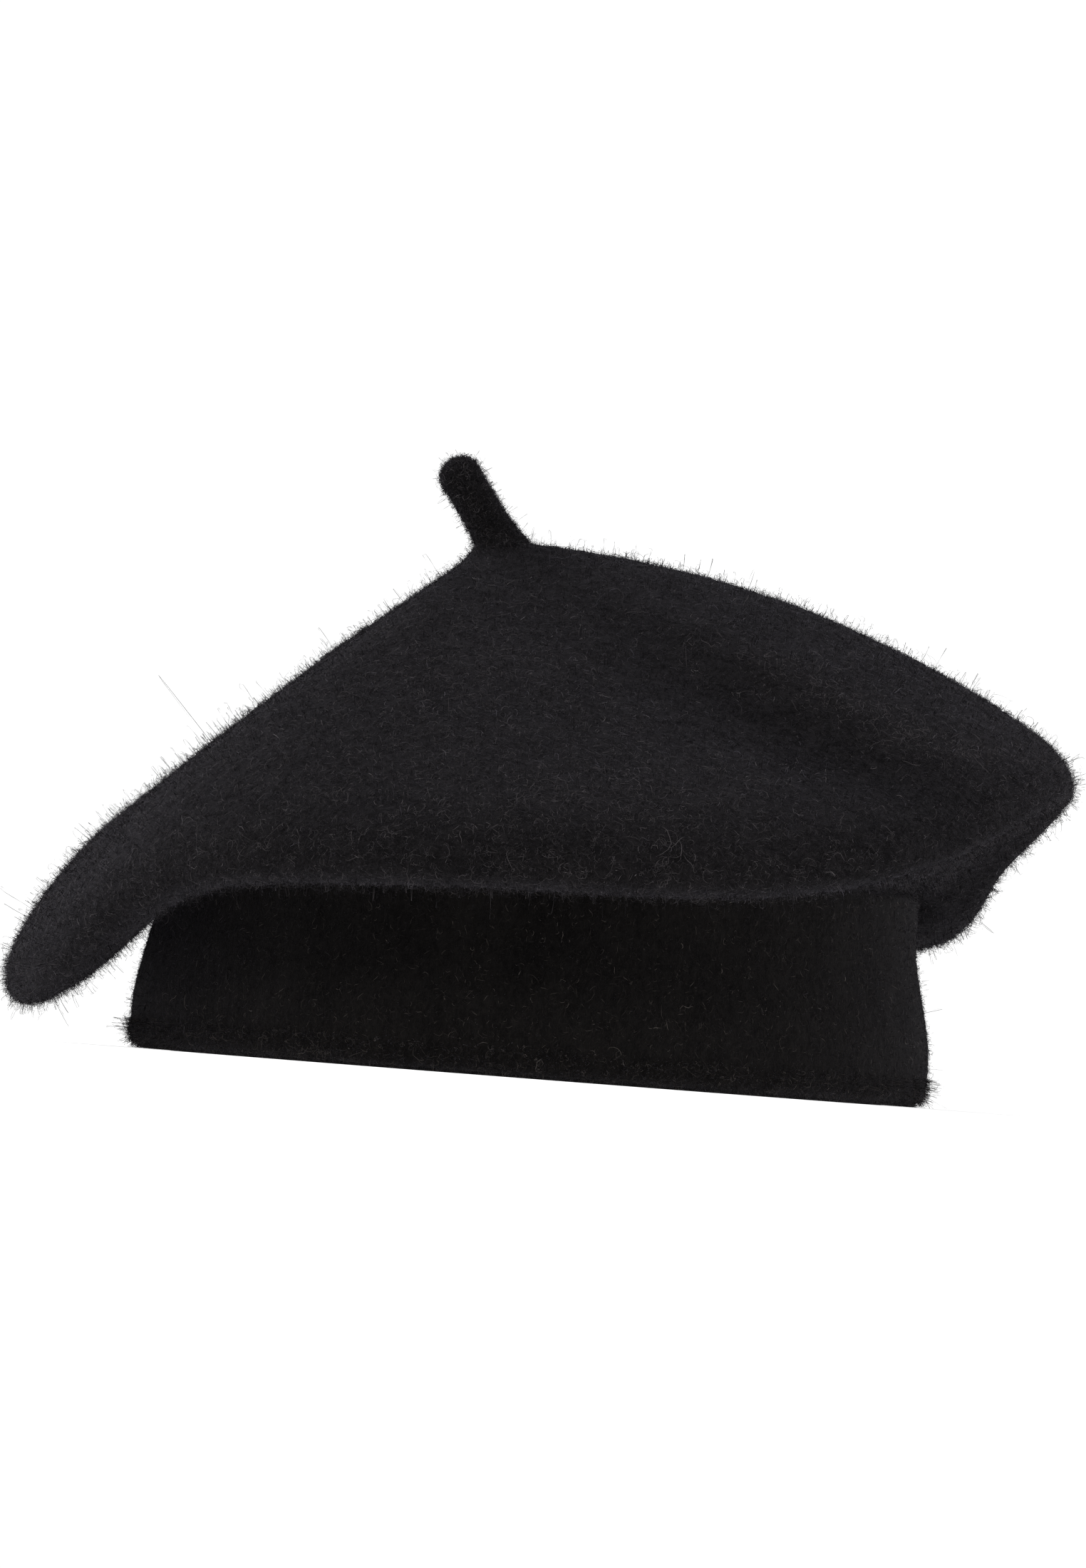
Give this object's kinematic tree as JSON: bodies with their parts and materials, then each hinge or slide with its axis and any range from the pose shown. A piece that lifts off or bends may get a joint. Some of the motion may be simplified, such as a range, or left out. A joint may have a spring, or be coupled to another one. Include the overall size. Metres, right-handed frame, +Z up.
{
  "type": "beret",
  "caption": "Soft felted wool beret with a stalk on its crown, one side drooping, and a tall doubled head band.",
  "frame": {"origin": "centre of the head opening, in the plane of the band's lower edge that the beret stands on", "axes": "+Z up through the crown along the band's axis, +X to the lifted side of the crown, -X to the drooping side, -Y to the front, +Y to the back where the seams and the label are"},
  "size_m": [0.2489, 0.2534, 0.1466],
  "materials": {
    "felt": "brushed boiled wool felt, charcoal black, fuzzy",
    "yarn": "matte wool sewing yarn",
    "elastic": "woven elastic tape",
    "label": "soft satin ribbon, blank"
  },
  "bodies": {
    "hat": {"crown": "felt", "stalk_root": "felt", "stalk_stitches": "yarn", "crown_seam_stitches": "yarn", "outer_band": "felt", "inner_band": "felt", "band_elastic": "elastic", "elastic_stitches": "yarn", "join_stitches": "yarn", "hem_stitches": "yarn", "outer_band_seam": "yarn", "inner_band_seam": "yarn", "label_stitches": "yarn"},
    "stalk": {"stalk": "felt"},
    "label": {"care_label": "label"}
  },
  "joints": [
    {"name": "stalk_bend", "type": "hinge", "parent": "hat", "child": "stalk", "pos_m": [-0.0184, 0, 0.1302], "axis": [0, 1, 0], "range_deg": [-30, 75], "stiffness_Nm_per_rad": 0.008},
    {"name": "label_flip", "type": "hinge", "parent": "hat", "child": "label", "pos_m": [0, 0.08378, 0.047], "axis": [-1, 0, 0], "range_deg": [0, 165]}
  ]
}
